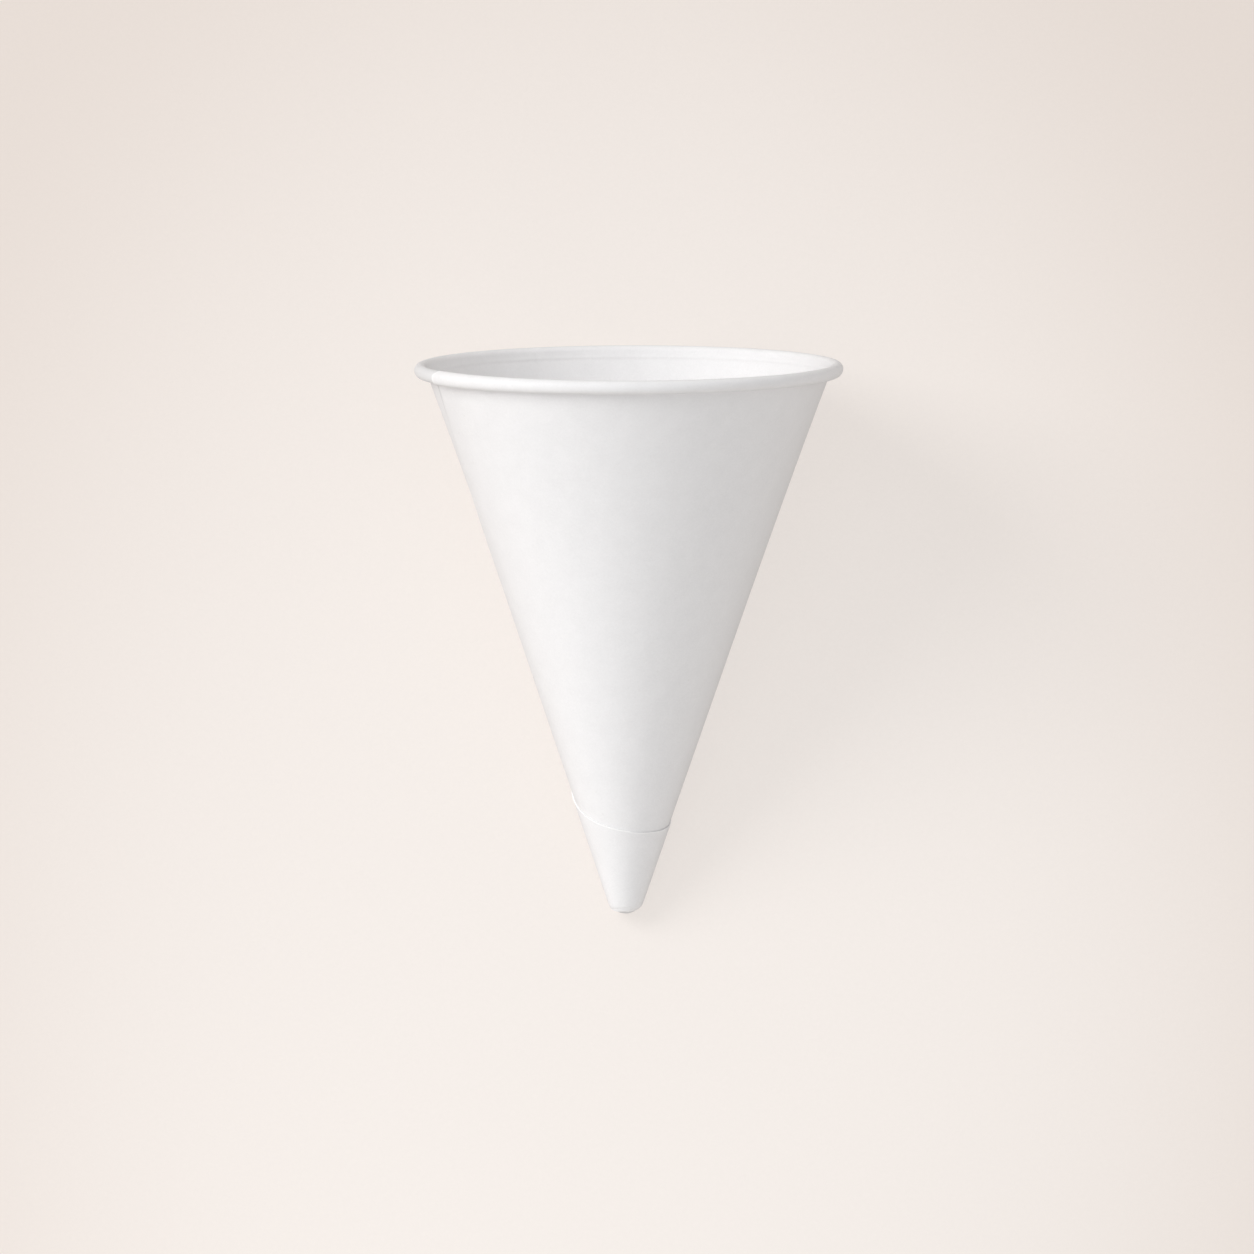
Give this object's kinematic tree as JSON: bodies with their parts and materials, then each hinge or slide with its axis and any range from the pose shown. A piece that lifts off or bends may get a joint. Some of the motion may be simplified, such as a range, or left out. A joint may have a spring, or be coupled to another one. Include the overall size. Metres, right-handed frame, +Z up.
{
  "type": "cone paper cup",
  "caption": "Cone-shaped paper drinking cup with a rolled rim, a slanted side seam and a wrapped blunt tip.",
  "frame": {"origin": "centre of the bounding box's footprint, on the floor on which the cup lies", "axes": "+Y runs over the floor from the tip to the mouth, +Z up, and the side seam lies toward -X"},
  "size_m": [0.073, 0.1012, 0.0683],
  "materials": {
    "paper": "matt"
  },
  "bodies": {
    "root": {"paper_cup": "paper"}
  },
  "joints": []
}
